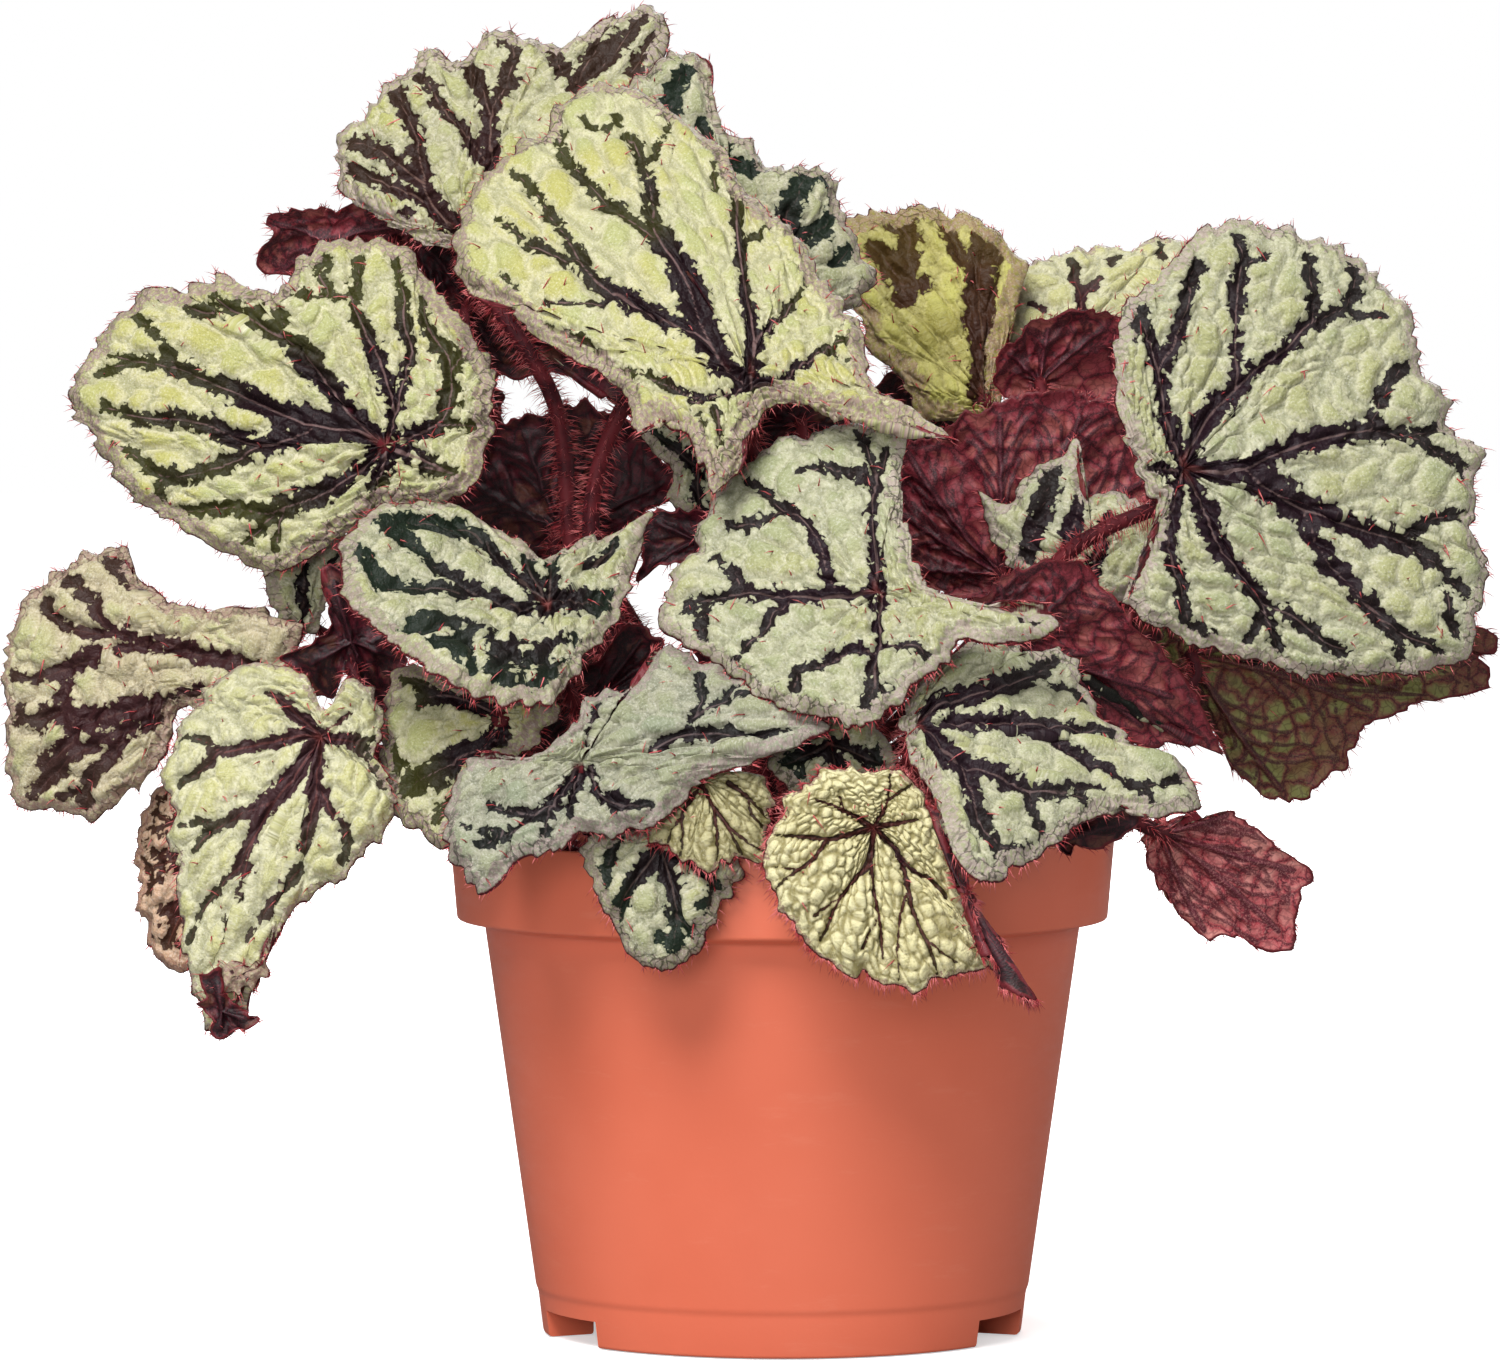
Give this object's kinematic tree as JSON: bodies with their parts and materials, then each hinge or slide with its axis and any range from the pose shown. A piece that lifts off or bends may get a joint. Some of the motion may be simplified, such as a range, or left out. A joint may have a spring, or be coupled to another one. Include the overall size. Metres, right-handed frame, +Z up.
{
  "type": "potted rex begonia",
  "caption": "Potted rex begonia with broad silver and dark-veined leaves, maroon undersides and hairy red stalks, standing in a round tapered plastic nursery pot filled with soil.",
  "frame": {"origin": "on the ground, on the pot's axis, at the underside of the boss in the middle of the pot's base", "axes": "+Z up along the pot's axis, -Y towards the front of the plant, +X to the right as seen from the front"},
  "size_m": [0.3198, 0.207, 0.2817],
  "materials": {
    "pot": "satin moulded",
    "soil": "rough potting mix",
    "rhizome": "hairy rind",
    "leaf_upper_side": "satin, silver with dark veins",
    "leaf_underside": "satin, maroon with raised veins",
    "stalk": "hairy"
  },
  "bodies": {
    "root": {"pot": "pot", "soil": "soil", "rhizome": "rhizome", "leaf_top_front": "leaf_upper_side", "leaf_centre": "leaf_upper_side", "leaf_low_right": "leaf_upper_side", "leaf_young_right": "leaf_upper_side", "leaf_low_front": "leaf_upper_side", "leaf_young_left": "leaf_upper_side", "leaf_rim_front": "leaf_upper_side", "leaf_bowl": "leaf_upper_side", "leaf_left_low": "leaf_upper_side", "leaf_left_drooping": "leaf_upper_side", "leaf_left_large": "leaf_upper_side", "leaf_far_left": "leaf_upper_side", "leaf_left_behind": "leaf_upper_side", "leaf_left_folded": "leaf_upper_side", "leaf_left_inner_under": "leaf_underside", "leaf_fold_under": "leaf_underside", "leaf_left_top": "leaf_upper_side", "leaf_behind_top": "leaf_upper_side", "leaf_edge_top_left": "leaf_underside", "leaf_centre_under": "leaf_underside", "leaf_upper_under": "leaf_underside", "leaf_strip_under": "leaf_underside", "leaf_inner_dark": "leaf_upper_side", "leaf_inner_under": "leaf_underside", "leaf_shade_front": "leaf_upper_side", "leaf_rim_right": "leaf_upper_side", "leaf_right_large": "leaf_upper_side", "leaf_right_under": "leaf_underside", "leaf_inner_right_face": "leaf_upper_side", "leaf_inner_right_under": "leaf_underside", "leaf_back_green": "leaf_upper_side", "leaf_back_right": "leaf_upper_side", "leaf_back_right_fold": "leaf_underside", "leaf_right_low_under": "leaf_underside", "leaf_right_small_under": "leaf_underside", "leaf_back_left_high": "leaf_underside", "leaf_back_top": "leaf_underside", "leaf_back_right_high": "leaf_underside", "leaf_back_left_low": "leaf_underside", "leaf_back_low": "leaf_underside", "leaf_back_right_low": "leaf_underside", "leaf_back_centre": "leaf_underside", "stalk_top_front": "stalk", "stalk_centre": "stalk", "stalk_low_right": "stalk", "stalk_young_right": "stalk", "stalk_low_front": "stalk", "stalk_rim_front": "stalk", "stalk_bowl": "stalk", "stalk_left_low": "stalk", "stalk_left_drooping": "stalk", "stalk_left_large": "stalk", "stalk_far_left": "stalk", "stalk_left_top": "stalk", "stalk_behind_top": "stalk", "stalk_right_large": "stalk", "stalk_right_small_under": "stalk"}
  },
  "joints": []
}
